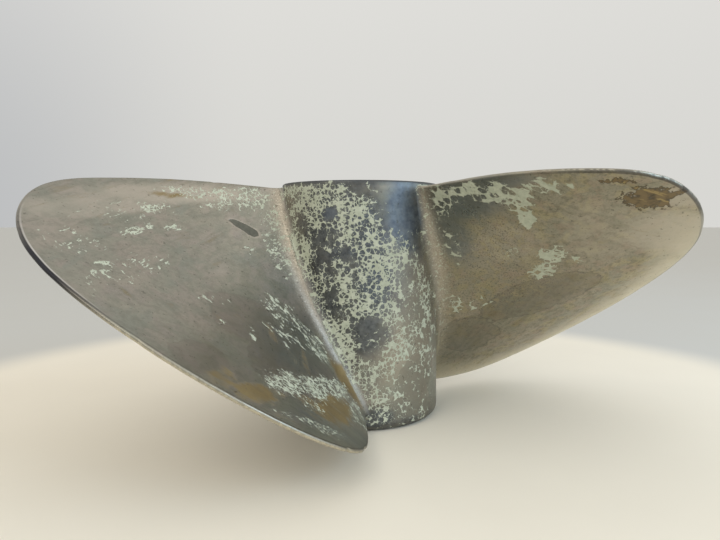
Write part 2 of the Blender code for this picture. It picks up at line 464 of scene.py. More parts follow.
def third_start(height):
    """The angle at which a blade's third of the hub begins, on a line that leans as the blades do."""
    return first_blade - third_lag - math.pi / blade_count - lean * (height - hub_length / 2)


def root_outline():
    """The closed line round the foot of the first blade's fillet, as angle and height."""
    ring = np.concatenate([edge_numbers[:1], root_numbers, edge_numbers[-1:]])
    _, face_angle, face_height = wrap_blade(0, 1)
    _, back_angle, back_height = wrap_blade(0, -1)
    there = np.stack([face_angle[ring], face_height[ring]], 1)
    and_back = np.stack([back_angle[ring[-2:0:-1]], back_height[ring[-2:0:-1]]], 1)
    return np.concatenate([there, and_back])


def hub_third():
    """The flat points and triangles of one third of the hub's skin, as angle and height."""
    columns = around // blade_count
    heights = np.linspace(skin_low, skin_high, int((skin_high - skin_low) / skin_row_height))
    start_side = np.stack([third_start(heights), heights], 1)
    end_side = start_side + [blade_angle(1), 0]
    across = lattice * np.arange(1, columns)
    bottom = np.stack([third_start(skin_low) + across, np.full(columns - 1, skin_low)], 1)
    top = np.stack([third_start(skin_high) + across, np.full(columns - 1, skin_high)], 1)
    outer = np.concatenate([start_side, top, end_side[::-1], bottom[::-1]])
    hole = root_outline()
    inner = []
    for number, height in enumerate(heights[1:-1]):
        shift = 0.5 if number % 2 else 1.0
        angles = third_start(height) + lattice * (np.arange(columns) + shift)
        inner.append(np.stack([angles, np.full(columns, height)], 1)[: columns - 1 + number % 2])
    inner = np.concatenate(inner)
    size = np.array([hub_forward_radius, 1])
    to_fillet = np.min(np.hypot(*((inner[:, None] - hole[None]) * size).transpose(2, 0, 1)), axis=1)
    inner = inner[(to_fillet > fillet_clearance) & ~inside(inner, hole)]
    points = np.concatenate([outer, hole, inner])
    outer_ring = np.arange(len(outer))
    hole_ring = np.arange(len(outer), len(outer) + len(hole))
    return points, flat_triangles(points * size, outer_ring, hole_ring)


casting = bmesh.new()
region_layer = casting.verts.layers.int.new("region")
blade_layer = casting.verts.layers.int.new("blade")
gap_layer = casting.verts.layers.float.new("edge_gap")


def add_patch(points, triangles, code, blade=0, gaps=None):
    """Adds a patch of the casting's surface; touching patches are welded at the end."""
    made = []
    for number, point in enumerate(points):
        vertex = casting.verts.new(point)
        vertex[region_layer] = code
        vertex[blade_layer] = blade
        vertex[gap_layer] = far_from_edge if gaps is None else gaps[number]
        made.append(vertex)
    for a, b, c in triangles:
        made_face = casting.faces.new((made[a], made[b], made[c]))
        made_face.material_index = max(0, code - BACK)


third_points, third_triangles = hub_third()
for number in range(blade_count):
    angles = third_points[:, 0] + blade_angle(number)
    skin = to_points(skin_radius(third_points[:, 1]), angles, third_points[:, 1])
    add_patch(skin, third_triangles, SKIN, number)
    for side, code in ((1, FACE), (-1, BACK)):
        add_patch(to_points(*wrap_blade(number, side)), sheet_triangles, code, number, edge_depth)

# The ends of the hub and the shaft bore: faces turned flat, a bore bored to a 1 in 12 taper, and a keyway
# cut along it. The photo hides them, so they follow common practice.
bore_radius, bore_taper, bore_chamfer = 0.030, 1 / 12, 0.0015
keyway_width, keyway_depth, keyway_angle = 0.016, 0.006, math.radians(90)
wall_points, bore_rows = 92, 14
forward_round_rows, aft_round_rows = 9, 5
turned_rings = (0.006, 0.013)
weld_distance = 0.000002


def bore_ring(widen, height):
    """The bore's outline with its keyway at a height, opened out by a chamfer's width."""
    radius = bore_radius - bore_taper * height / 2 + widen
    half = keyway_width / 2 + widen
    corner = math.asin(half / radius)
    wall = np.linspace(corner, 2 * math.pi - corner, wall_points)
    circle = np.stack([radius * np.cos(wall), radius * np.sin(wall)], 1)
    slot = np.array([(radius + keyway_depth, share * half) for share in (-1, -0.5, 0, 0.5, 1)])
    x, y = np.concatenate([circle, slot]).T
    c, s = math.cos(keyway_angle), math.sin(keyway_angle)
    return np.stack([x * c - y * s, x * s + y * c, np.full(len(x), height + foot)], 1)


def turned_ring(radius, height, start):
    angles = start + lattice * np.arange(around)
    return to_points(np.full(around, radius), angles, np.full(around, height))


def add_bands(rings, code):
    """Bands of surface between rings that have as many points as each other."""
    for lower, upper in zip(rings, rings[1:]):
        count = len(lower)
        a = np.arange(count)
        b = (a + 1) % count
        halves = [np.stack([a, b, b + count], 1), np.stack([a, b + count, a + count], 1)]
        add_patch(np.concatenate([lower, upper]), np.concatenate(halves), code)


def corner_rings(centre_radius, centre_height, size, first, last, steps, start):
    """The rings of a rounded corner between the hub's skin and one of its end faces."""
    rings = []
    for turn in np.linspace(first, last, steps):
        height = centre_height + size * math.sin(turn)
        rings.append(turned_ring(centre_radius + size * math.cos(turn), height, start))
    return rings


def add_end(rim_radius, height, start):
    """A turned end face, from its rim to the bore."""
    rim = turned_ring(rim_radius, height, start)
    mouth = bore_ring(bore_chamfer, height)
    middle = [turned_ring(rim_radius - step, height, start)[::2] for step in turned_rings]
    points = np.concatenate([rim, mouth, *middle])
    rim_numbers = np.arange(len(rim))
    mouth_numbers = np.arange(len(rim), len(rim) + len(mouth))
    add_patch(points, flat_triangles(points[:, :2], rim_numbers, mouth_numbers), TURNED)


quarter = math.pi / 2
forward_start, aft_start = third_start(skin_low), third_start(skin_high)
forward_rim = skin_radius(skin_low) - forward_round
aft_rim = skin_radius(skin_high) - aft_round
forward_corner = (forward_rim, forward_round, forward_round, -quarter, 0, forward_round_rows, forward_start)
aft_corner = (aft_rim, hub_length - aft_round, aft_round, 0, quarter, aft_round_rows, aft_start)
add_bands(corner_rings(*forward_corner), SKIN)
add_bands(corner_rings(*aft_corner), SKIN)
add_end(forward_rim, 0, forward_start)
add_end(aft_rim, hub_length, aft_start)
bore_heights = [0.0, *np.linspace(bore_chamfer, hub_length - bore_chamfer, bore_rows), hub_length]
bore_widenings = [bore_chamfer, *[0] * bore_rows, bore_chamfer]
add_bands([bore_ring(*ring) for ring in zip(bore_widenings, bore_heights)], BORE)
bmesh.ops.remove_doubles(casting, verts=casting.verts, dist=weld_distance)
bmesh.ops.recalc_face_normals(casting, faces=casting.faces)
casting.normal_update()

# The skin of a sand casting that was ground and worn by water: it swells and dips by a tenth or two of a
# millimetre over a few centimetres. The swell dies out at the blades' edges and near the hub's ends.
swell_height, swell_length = 0.00016, 0.034
ripple_height, ripple_length = 0.00003, 0.006
steady_edge, steady_end = 0.004, 0.006
for vertex in casting.verts:
    if vertex[region_layer] in (SKIN, FACE, BACK):
        swell = noise.fractal(vertex.co / swell_length, 1.0, 2.0, 3)
        ripple = noise.noise(vertex.co / ripple_length)
        fade = min(1.0, vertex[gap_layer] / steady_edge)
        if vertex[region_layer] == SKIN:
            from_end = min(vertex.co.z - foot, foot + hub_length - vertex.co.z)
            fade = min(1.0, max(0.0, from_end / steady_end))
        vertex.co += vertex.normal * fade * (swell_height * swell + ripple_height * ripple)
for face in casting.faces:
    face.smooth = True
casting_mesh = bpy.data.meshes.new("cast_propeller")
casting.to_mesh(casting_mesh)
casting.free()
propeller = bpy.data.objects.new("cast_propeller", casting_mesh)
bpy.context.scene.collection.objects.link(propeller)
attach(propeller, "root")
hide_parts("propeller")

# Where each finish shows: in oval marks. A mark is the radius of its middle, or its angle on the hub, its
# height, half its length and half its width, all in millimetres or degrees, then its tilt in degrees and
# its strength. The photo shows the first blade's face and the second blade's back.
vertex_count = len(casting_mesh.vertices)
spots = np.empty(vertex_count * 3)
casting_mesh.vertices.foreach_get("co", spots)
spots = spots.reshape(-1, 3)
spot_radius = np.hypot(spots[:, 0], spots[:, 1])
spot_angle = np.degrees(np.arctan2(spots[:, 1], spots[:, 0]))
spot_height = spots[:, 2] - foot
region, blade, edge_gap = (np.empty(vertex_count) for _ in range(3))
for name, values in (("region", region), ("blade", blade), ("edge_gap", edge_gap)):
    casting_mesh.attributes[name].data.foreach_get("value", values)
region, blade = region.round().astype(int), blade.round().astype(int)
hub_reach = 0.0675
blade_with_face_seen, blade_with_back_seen = 0, 1
mark_end, mark_fade = 1.4, 0.8
millimetres = 1000
region_step, blade_step = 0.4, 0.13
just_inside = 0.00001
bronze = bpy.data.materials.new("tarnished_bronze")
bronze.use_nodes = True
casting_mesh.materials.append(bronze)
Shade.tree = bronze.node_tree


def ramp(values, start, width):
    """0 at a start and 1 a width further on, or a width before it where the width is negative."""
    return np.clip((values - start) / width, 0, 1)


def shade_marks(marks, here, turn=None):
    """How strongly oval marks show at some vertices. With a turn they lie on the hub, turned by it."""
    strength = np.zeros(vertex_count)
    for first, height, length, width, tilt, power in marks:
        if turn is None:
            across = millimetres * spot_radius[here] - first
            climb_here = float(screw_slope(first / millimetres))
            along = (millimetres * spot_height[here] - height) / climb_here
        else:
            off_middle = np.radians((spot_angle[here] - first - turn + 180) % 360 - 180)
            across = millimetres * root_radius * off_middle
            along = millimetres * spot_height[here] - height
        c, s = math.cos(math.radians(tilt)), math.sin(math.radians(tilt))
        reach = np.hypot((across * c + along * s) / length, (along * c - across * s) / width)
        strength[here] = np.maximum(strength[here], power * ramp(reach, mark_end, -mark_fade))
    return strength


def all_round(face_marks=(), back_marks=(), hub_marks=(), elsewhere=0.85):
    """The marks on every blade and third of the hub, a little weaker where the photo shows nothing."""
    total = np.zeros(vertex_count)
    for number in range(blade_count):
        here = (blade == number) & (spot_radius > hub_reach)
        face_share = 1 if number == blade_with_face_seen else elsewhere
        back_share = 1 if number == blade_with_back_seen else elsewhere
        hub_share = 1 if number == 0 else elsewhere
        total += face_share * shade_marks(face_marks, here & (region == FACE))
        total += back_share * shade_marks(back_marks, here & (region == BACK))
        total += hub_share * shade_marks(hub_marks, spot_radius < hub_reach, 360 / blade_count * number)
    return np.clip(total, 0, 1)


def keep(name, values):
    """Stores a value or a vector for each vertex of the casting, and returns it for its material to use."""
    is_vector = values.ndim == 2
    layer = casting_mesh.attributes.new(name, "FLOAT_VECTOR" if is_vector else "FLOAT", "POINT")
    layer.data.foreach_set("vector" if is_vector else "value", values.astype(np.float32).ravel())
    return Shade.node("Attribute", {"attribute_name": name}, output="Vector" if is_vector else "Fac")


on_hub = keep("on_hub", (spot_radius < hub_reach).astype(float))
on_back = keep("on_back", (region == BACK).astype(float))
on_face = 1 - Shade.math("MAXIMUM", on_hub, on_back)
open_blade = keep("open_blade", ramp(spot_radius, 0.070, 0.020))
low_edge, high_edge = chord_ends(np.clip(spot_radius, root_reach, tip_radius - just_inside))
up_the_chord = np.clip((2 * spot_height - low_edge - high_edge) / (high_edge - low_edge), -1, 1)
chord_share = keep("chord_share", up_the_chord)
high_up = rise(chord_share, -0.15, 0.45)

# The bronze: grey metal, mottled green and sandy by years in the water. The backs are browner and more
# golden than the faces. Water and sanding ran one way low on a blade and another way along its upper edge.
green_grey, warm_grey = (0.295, 0.295, 0.242), (0.375, 0.350, 0.285)
rosy_mottle, rosy_area, green_area = (0.385, 0.335, 0.290), (0.415, 0.355, 0.300), (0.270, 0.295, 0.250)
streak_tone, speckle_tone = (0.245, 0.255, 0.208), (0.23, 0.22, 0.18)
scratch_tone, grain_tone = (0.46, 0.43, 0.36), (0.20, 0.19, 0.155)
back_tone, back_gold, back_rust = (0.37, 0.315, 0.190), (0.45, 0.395, 0.205), (0.37, 0.285, 0.215)
back_speckle, back_grain = (0.19, 0.175, 0.125), (0.16, 0.15, 0.115)
low_turn, high_turn, scratch_turn = 68, -8, 40


def blotches(where, size, detail=2.0, roughness=0.55, swirl=0.0):
    """Smooth noise about a size in metres, spread over 0 to 1."""
    sockets = {"Vector": where, "Scale": 1 / size, "Detail": detail, "Roughness": roughness}
    cloud = Shade.node("TexNoise", {}, {**sockets, "Distortion": swirl})
    return Shade.node("MapRange", {}, {"Value": cloud, "From Min": 0.3, "From Max": 0.7})


def shifted(where, by):
    return Shade.node("VectorMath", {"operation": "ADD"}, {0: where, 1: (by, 0.7 * by, -0.4 * by)})


def streaked(where, turn, along, across):
    """Coordinates on which a pattern runs long in the direction of a turn in degrees."""
    sockets = {"Vector": where, "Angle": -math.radians(turn)}
    turned = Shade.node("VectorRotate", {"rotation_type": "Z_AXIS"}, sockets)
    return Shade.node("VectorMath", {"operation": "MULTIPLY"}, {0: turned, 1: (1 / along, 1 / across, 1)})


place = Shade.node("TexCoord", output="Object")
along_screw = (spot_height - hub_length / 2) / screw_slope(np.clip(spot_radius, root_radius, tip_radius))
flow = keep("flow", np.stack([spot_radius, along_screw, region_step * region + blade_step * blade], 1))
clouds = blotches(place, 0.055, 3.0)
wide = blotches(shifted(flow, 0.55), 0.038, 3.0, 0.55, 0.4)
mottle = blotches(shifted(place, 0.31), 0.015, 4.0, 0.6, 0.5)
patches = blotches(shifted(place, 0.17), 0.012, 3.0, 0.6)
small = blotches(shifted(place, 0.71), 0.0042, 3.0, 0.6)
grain = blotches(place, 0.0012, 2.0, 0.6)
low_streaks = blotches(streaked(flow, low_turn, 2.6, 0.9), 0.010, 4.0, 0.62, 0.6)
high_streaks = blotches(streaked(flow, high_turn, 2.6, 0.9), 0.010, 4.0, 0.62, 0.6)
streaks = low_streaks * (1 - high_up) + high_streaks * high_up
streaks = 0.5 + (streaks - 0.5) * open_blade
scratches = blotches(streaked(shifted(flow, 0.4), scratch_turn, 9.0, 0.6), 0.0022, 2.0, 0.6) * open_blade
metal = blend(clouds, green_grey, warm_grey)
metal = blend(0.75 * rise(mottle, 0.30, 0.85), metal, rosy_mottle)
metal = blend(0.45 * rise(wide, 0.55, 0.85), metal, rosy_area)
metal = blend(0.45 * rise(wide, 0.40, 0.15), metal, green_area)
metal = blend((0.50 + 0.20 * on_back) * rise(streaks, 0.35, 0.9), metal, streak_tone)
metal = blend(0.40 * rise(small, 0.35, 0.9), metal, speckle_tone)
metal = blend(0.15 * rise(scratches, 0.6, 1.0), metal, scratch_tone)
metal = blend(0.25 * grain, metal, grain_tone)
metal = blend(0.25 * on_back, metal, back_tone)
metal = blend(0.45 * on_back * rise(mottle, 0.45, 0.80), metal, back_gold)
metal = blend(0.45 * on_back * rise(patches, 0.50, 0.85), metal, back_rust)
metal = blend(0.55 * on_back * rise(small, 0.50, 0.90), metal, back_speckle)
metal = blend(0.30 * on_back * rise(grain, 0.50, 0.90), metal, back_grain)

# Lighter bronze, partly cleaner metal and partly a painted highlight: on the upper part of the faces,
# on the outer part of the backs and low on the hub. Along the lower edge of the backs it is worn and painted
# with a highlight, nearly bright.
cleaner_and_highlit_on_face = (
    (150, 178, 60, 12, 0, 0.95),
    (205, 168, 50, 16, -6, 0.7),
    (225, 150, 26, 24, 0, 0.3),
    (120, 118, 30, 16, 30, 0.35),
)
cleaner_and_highlit_on_back = (
    (232, 150, 34, 30, 0, 1.0),
    (120, 140, 34, 24, 30, 0.5),
    (232, 172, 26, 12, 0, 0.9),
    (187, 150, 44, 28, 80, 0.52),
)
cleaner_and_highlit_on_hub = (
    (300, 56, 44, 26, 90, 0.6),
    (312, 60, 80, 22, 90, 0.5),
)
# Pale tones of cleaner metal, which also serve as a painted highlight.
cleaner_and_highlit_blade, cleaner_and_highlit_hub, worn_and_highlit_tone = (0.52, 0.47, 0.39), (0.45, 0.365, 0.24), (0.66, 0.61, 0.48)
light = keep("light", all_round(cleaner_and_highlit_on_face, cleaner_and_highlit_on_back, cleaner_and_highlit_on_hub))
cleaner_and_highlit_share = rise(light + 0.4 * (mottle - 0.5), 0.1, 1.0)
metal = blend(0.65 * cleaner_and_highlit_share, metal, blend(on_hub, cleaner_and_highlit_blade, cleaner_and_highlit_hub))
# A painted highlight along the lower edge of the backs, with some wear under it.
worn_and_highlit_edge = np.clip(1 - edge_gap / 0.032, 0, 1) * (region == BACK) * ramp(spot_height, 0.168, -0.040)
metal = blend(keep("worn_edge", worn_and_highlit_edge), metal, worn_and_highlit_tone)

# A thin brown film in large faint areas, such as water leaves when it dries. Its outline is partly crisp,
# with a dark tide line that shows best on the backs.
film_on_face = (
    (200, 85, 24, 16, 20, 0.5),
    (69, 72, 44, 8, 90, 0.6),
    (135, 95, 36, 26, 30, 0.42),
    (125, 60, 40, 26, 20, 0.88),
)
film_on_back = (
    (144, 97, 52, 22, 34, 0.6),
    (189, 155, 40, 18, 84, 0.20),
    (95, 60, 30, 24, 0, 0.5),
)
film_on_hub = (
    (318, 110, 60, 24, 90, 0.6),
    (290, 6, 60, 14, 0, 1.0),
    (312, 34, 30, 18, 60, 0.7),
)
film_brown, face_film_brown, tide_brown = (0.19, 0.175, 0.135), (0.235, 0.200, 0.168), (0.12, 0.11, 0.085)
film = keep("film", all_round(film_on_face, film_on_back, film_on_hub))
film_edge = film + 0.3 * (mottle - 0.5) + 0.3 * (streaks - 0.5)
outline = film + 0.15 * (mottle - 0.5) + 0.10 * (patches - 0.5)
film_share = 0.5 * rise(film_edge, 0.15, 0.85) + 0.5 * rise(outline, 0.30, 0.34)
metal = blend(0.60 * film_share, metal, blend(on_face, film_brown, face_film_brown))
tide_line = rise(outline, 0.290, 0.310) * rise(outline, 0.350, 0.320) * (0.3 + 0.7 * on_back)
metal = blend(0.40 * tide_line, metal, tide_brown)

# The rough casting: near the root the backs are as they came from the sand of the mould, with pale grains
# and dark pores. The roughness is relief too, further on.
rough_on_back = (
    (108, 140, 40, 30, 60, 0.8),
    (120, 105, 44, 22, 30, 0.6),
    (80, 120, 50, 10, -80, 0.5),
)
sand_pale, sand_dark = (0.50, 0.43, 0.27), (0.12, 0.11, 0.085)
rough_cast = keep("rough_cast", all_round((), rough_on_back))
metal = blend(0.75 * rough_cast * rise(small, 0.50, 0.85), metal, sand_pale)
metal = blend(0.75 * rough_cast * rise(grain, 0.60, 0.90), metal, sand_dark)

# Tarnish: under the paint, round the hub and at the blade roots, the bronze has gone dark slate. In places
# on the hub it has a bluish tint, painted lighter and bluer as a reflection of the window. On the open
# blades it stays a warm grey.
slate_on_face = (
    (103, 72, 36, 28, 0, 0.46),
    (148, 32, 48, 14, 49, 0.55),
    (90, 115, 24, 20, 0, 0.15),
)
slate_on_back = (
    (98, 172, 40, 18, 15, 0.80),
    (120, 183, 44, 7, 3, 0.75),
    (82, 148, 28, 16, -70, 0.70),
    (84, 40, 22, 18, 0, 0.35),
)
slate_on_hub = (
    (258, 128, 78, 42, 94, 0.86),
    (270, 74, 26, 16, 0, 0.9),
    (290, 4, 60, 10, 0, 0.30),
    (282, 10, 14, 8, 0, 0.90),
    (302, 3, 34, 6, 0, 0.62),
    (304, 164, 32, 22, 90, 0.85),
)
# The bluish tint of the tarnish on the hub, painted lighter and bluer as a reflection of the window.
blue_tint_and_sheen_on_hub = (
    (299, 164, 34, 16, 88, 0.85),
    (279, 130, 44, 16, 92, 0.66),
    (262, 142, 34, 18, 90, 0.45),
    (251, 163, 7, 5, 0, 1.0),
)
dark_slate, mid_slate = (0.060, 0.067, 0.074), (0.170, 0.185, 0.186)
dark_blue_tint_and_sheen, mid_blue_tint_and_sheen = (0.086, 0.103, 0.128), (0.182, 0.212, 0.240)
blade_slate, pale_slate = (0.200, 0.211, 0.206), (0.272, 0.280, 0.255)
slate = keep("slate", all_round(slate_on_face, slate_on_back, slate_on_hub))
blue = keep("blue", all_round((), (), blue_tint_and_sheen_on_hub))
slate_share = rise(slate + 0.45 * (mottle - 0.5) + 0.35 * (clouds - 0.5), 0.05, 1.0)
# Where this shows, the hub has a bluish tarnish and a painted reflection of the window.
blue_tint_and_sheen_share = rise(blue + 0.3 * (mottle - 0.5), 0.1, 1.0)
hub_tone = blend(blue_tint_and_sheen_share, blend(small, dark_slate, mid_slate), blend(small, dark_blue_tint_and_sheen, mid_blue_tint_and_sheen))
slate_tone = blend(on_hub, blend(small, blade_slate, pale_slate), hub_tone)
metal = blend(0.95 * slate_share, metal, slate_tone)

# The root fillets: a painted highlight, pale with painted glints, most of all high up on the blades. Tarnish
# takes some of the highlight away.
fillet_highlight_pale, fillet_highlight_grain, fillet_glint_tone = (0.54, 0.485, 0.39), (0.34, 0.30, 0.24), (0.72, 0.665, 0.56)
fillet_highlight = ramp(spot_radius, 0.0642, 0.002) * ramp(spot_radius, 0.079, -0.007)
fillet_highlight = fillet_highlight * np.clip(spot_height / 0.130, 0.30, 1) * (region < TURNED)
in_fillet = keep("in_fillet", fillet_highlight)
# Painted glints in the fillets' highlight, fewer on the backs.
fillet_glints = rise(grain, 0.25, 0.05) * (1 - 0.6 * on_back)
fillet_highlight_tone = blend(0.35 * small + 0.65 * grain, fillet_highlight_pale, fillet_highlight_grain)
fillet_highlight_tone = blend(fillet_glints, fillet_highlight_tone, fillet_glint_tone)
metal = blend(0.75 * in_fillet * (1 - 0.4 * slate_share), metal, fillet_highlight_tone)

# Stains: ochre low on the driving faces, and brown near the tip of the backs, where a scab of old deposit
# has a dark outline. Fine pits lie everywhere, and the hub's aft rim is darkened with painted shade.
ochre_on_face = (
    (72, 40, 22, 7, 84, 0.95),
    (124, 37, 30, 12, 15, 1.0),
    (186, 64, 18, 9, 32, 0.95),
    (201, 75, 14, 8, 23, 0.6),
    (121, 85, 15, 4, -59, 0.40),
    (110, 63, 15, 3, -50, 0.38),
    (148, 177, 18, 3, 7, 0.62),
    (140, 44, 20, 8, 30, 0.6),
)
brown_on_back = (
    (219, 172, 16, 12, 20, 0.95),
    (204, 182, 12, 4, 0, 0.62),
    (236, 177, 9, 5, 86, 0.52),
)
brown_elsewhere = 0.6
dark_ochre, light_ochre, pit_tone = (0.185, 0.120, 0.038), (0.26, 0.19, 0.075), (0.09, 0.085, 0.065)
dark_brown, mid_brown, gold_brown = (0.085, 0.066, 0.036), (0.23, 0.165, 0.080), (0.40, 0.30, 0.13)
scab_outline, rim_shadow = (0.075, 0.058, 0.034), (0.055, 0.060, 0.066)
ochre = keep("ochre", all_round(ochre_on_face))
ochre_share = rise(ochre + 0.7 * (streaks - 0.5) + 0.5 * (mottle - 0.5), 0.15, 0.90)
metal = blend(0.90 * ochre_share, metal, blend(mottle, dark_ochre, light_ochre))
pits = blotches(shifted(place, 0.9), 0.0024, 2.0, 0.5)
metal = blend(0.5 * rise(pits, 0.93, 1.0), metal, pit_tone)
# Painted shade darkens the rounded rim of the hub's aft face.
aft_rim_shade = keep("aft_rim", ramp(spot_height - hub_length, -0.0022, 0.001) * (region == SKIN))
metal = blend(0.8 * aft_rim_shade, metal, rim_shadow)
brown = keep("brown", all_round((), brown_on_back, (), brown_elsewhere))
brown_edge = brown + 0.8 * (small - 0.5) + 0.4 * (mottle - 0.5)
brown_share = rise(brown_edge, 0.50, 0.58)
brown_tone = blend(rise(mottle + 0.4 * small, 0.35, 0.85), dark_brown, mid_brown)
brown_tone = blend(rise(high_streaks + 0.3 * mottle, 0.92, 1.02), brown_tone, gold_brown)
metal = blend(0.9 * brown_share, metal, scab_outline)
metal = blend(0.85 * rise(brown_edge, 0.56, 0.80), metal, brown_tone)

# The edges of the blades: a thin line, partly worn and partly a painted highlight, beside a dark one, and a
# painted highlight line near the tip of the faces. Painted shade makes the rim round the tip nearly black,
# but on two backs it is the upper rim that is painted dark as shade.
worn_and_highlit_rim, dark_rim = (0.50, 0.465, 0.37), (0.12, 0.11, 0.09)
edge_highlight_tone, shaded_rim_tone = (0.74, 0.71, 0.68), (0.022, 0.023, 0.032)
near_tip = ramp(spot_radius, 0.232, 0.012) * ramp(spot_height, 0.172, -0.030)
back_rim = 0.6 * ramp(spot_radius, 0.150, 0.040) * ramp(spot_height, 0.160, 0.006)
dark_topped = (region == BACK) & (blade != 0)
edge_near = keep("edge_near", np.clip(1 - edge_gap / 0.004, 0, 1))
edge_dark = keep("edge_dark", np.where(dark_topped, back_rim, near_tip))
edge_bright = keep("edge_bright", near_tip * (region == FACE))
worn_and_highlit_line = rise(edge_near, 0.80, 0.95) * (1 - 0.7 * high_up * on_back)
dark_line = rise(edge_near, 0.45, 0.60) * rise(edge_near, 0.85, 0.70) * (1 - 0.7 * high_up)
edge_highlight_line = rise(edge_near, 0.20, 0.35) * rise(edge_near, 0.60, 0.45)
# A thin line at the edge, partly wear and partly painted highlight.
metal = blend(0.5 * worn_and_highlit_line, metal, worn_and_highlit_rim)
metal = blend(0.5 * dark_line, metal, dark_rim)
# A painted highlight line near the tip of the faces.
metal = blend(0.7 * edge_highlight_line * edge_bright, metal, edge_highlight_tone)
# Painted shade: the rim round the tip, and the upper rim of two backs, nearly black.
metal = blend(0.95 * rise(edge_near, 0.50, 0.65) * edge_dark, metal, shaded_rim_tone)

# The old paint is what is left of a pale green coat. Round the hub, on the backs and along the top and foot
# of the faces it is a net of rounded cells, whose holes widen as the coat thins out. On the rest of the
# faces it has flaked off along the streaks.
paint_on_face = (
    (125, 179, 28, 8, 4, 0.56),
    (89, 175, 17, 12, 4, 0.60),
    (117, 171, 12, 8, 0, 0.46),
    (148, 182, 16, 5, -3, 0.44),
    (78, 147, 36, 10, -88, 0.54),
    (164, 167, 9, 6, -20, 0.66),
    (182, 151, 10, 4, -20, 0.70),
    (169, 154, 4, 3, -40, 0.60),
    (153, 153, 8, 4, -4, 0.60),
    (209, 133, 7, 2, 0, 0.80),
    (213, 129, 8, 2, 0, 0.60),
    (101, 136, 6, 5, 50, 0.52),
    (150, 107, 22, 5, 20, 0.30),
    (156, 95, 5, 3, 0, 0.45),
    (140, 86, 7, 3, -48, 0.45),
    (98, 92, 20, 12, 60, 0.46),
    (112, 80, 20, 10, 50, 0.34),
    (170, 44, 30, 3, 47, 0.52),
    (82, 68, 18, 12, 65, 0.48),
    (150, 60, 22, 10, 20, 0.72),
    (126, 50, 20, 10, 35, 0.74),
    (98, 43, 26, 10, 25, 0.68),
    (88, 24, 22, 12, -10, 0.52),
    (146, 46, 12, 9, 50, 0.46),
    (165, 38, 26, 5, 52, 0.46),
    (222, 146, 24, 14, 40, 0.30),
    (195, 128, 40, 16, -20, 0.27),
    (180, 165, 40, 16, -5, 0.24),
)
paint_on_back = (
    (78, 171, 18, 13, 55, 0.66),
    (100, 178, 12, 6, 0, 0.66),
    (111, 180, 10, 8, 20, 0.62),
    (127, 178, 14, 10, 13, 0.64),
    (140, 172, 12, 9, 30, 0.80),
    (142, 162, 14, 6, -86, 0.82),
    (161, 179, 16, 9, 10, 0.56),
    (155, 133, 12, 9, 20, 0.84),
    (147, 121, 12, 9, 60, 0.82),
    (90, 175, 24, 10, 10, 0.40),
    (172, 129, 6, 4, -20, 0.62),
    (80, 89, 12, 8, -84, 0.66),
    (96, 90, 16, 7, 36, 0.46),
    (125, 134, 7, 5, 76, 0.46),
    (80, 145, 26, 9, -72, 0.42),
)
paint_on_hub = (
    (255, 125, 78, 42, 98, 0.57),
    (272, 138, 34, 20, 95, 0.68),
    (221, 140, 46, 5, -80, 0.62),
    (233, 168, 20, 18, -78, 0.77),
    (250, 180, 15, 7, 0, 0.72),
    (222, 182, 18, 6, 0, 0.74),
    (264, 160, 18, 15, 90, 0.74),
    (231, 130, 25, 6, -76, 0.74),
    (237, 99, 12, 7, -46, 0.68),
    (279, 133, 20, 18, 0, 0.64),
    (260, 107, 18, 9, 90, 0.71),
    (290, 125, 26, 9, 90, 0.72),
    (273, 93, 14, 8, 0, 0.72),
    (291, 90, 14, 9, -77, 0.76),
    (257, 66, 24, 12, -65, 0.72),
    (267, 48, 16, 10, -66, 0.72),
    (285, 44, 14, 12, -36, 0.60),
    (281, 25, 14, 10, -47, 0.66),
    (290, 12, 22, 7, 0, 0.50),
    (310, 75, 30, 7, 90, 0.52),
    (299, 135, 20, 9, 90, 0.60),
    (321, 101, 28, 9, -68, 0.60),
    (294, 60, 20, 14, 60, 0.62),
    (297, 30, 24, 18, 0, 0.50),
    (308, 70, 90, 40, 90, 0.39),
    (318, 180, 14, 7, 0, 0.74),
)
bare_on_hub = (
    (246, 136, 17, 10, 90, 0.52),
    (252, 100, 13, 7, -69, 0.52),
    (275, 76, 12, 6, 50, 0.58),
    (302, 168, 20, 12, 90, 1.0),
    (251, 163, 5, 4, 0, 0.90),
    (227, 157, 7, 4, -40, 0.70),
    (317, 30, 26, 12, -15, 0.60),
    (263, 130, 12, 4, -70, 0.42),
)
dark_green, pale_green, grimy_green = (0.41, 0.44, 0.325), (0.54, 0.56, 0.435), (0.36, 0.37, 0.27)
ghost_green = (0.50, 0.48, 0.36)
back_net_turn, ragged_scale, ragged_reach, cell_scale = 30, 480.0, 0.0017, 290.0


def choose(share, first, second):
    """One set of coordinates or another."""
    return Shade.node("Mix", {"data_type": "VECTOR"}, {0: share, 4: first, 5: second}, output=1)


old_paint = keep("old_paint", all_round(paint_on_face, paint_on_back, paint_on_hub))
rubbed_bare = keep("rubbed_bare", all_round((), (), bare_on_hub))
coat = old_paint * (1 - 0.9 * rubbed_bare)
coat = coat + (0.44 * (patches - 0.5) + 0.22 * (small - 0.5)) * rise(coat, 0.05, 0.3)
coat = coat * (1 - 0.8 * in_fillet * on_back) * (1 - 0.6 * aft_rim_shade)
net_base = choose(on_back, place, streaked(flow, back_net_turn, 1.75, 1.45))
net_base = choose(on_face, net_base, streaked(flow, low_turn, 1.0, 0.62))
ragged = Shade.node("TexNoise", {}, {"Vector": net_base, "Scale": ragged_scale, "Detail": 2.0}, "Color")
ragged_offset = {0: ragged, 1: (ragged_reach,) * 3, 2: net_base}
net_place = Shade.node("VectorMath", {"operation": "MULTIPLY_ADD"}, ragged_offset)
spread = {"Vector": net_place, "Scale": cell_scale}
from_middle = Shade.node("TexVoronoi", {"feature": "F1"}, spread)
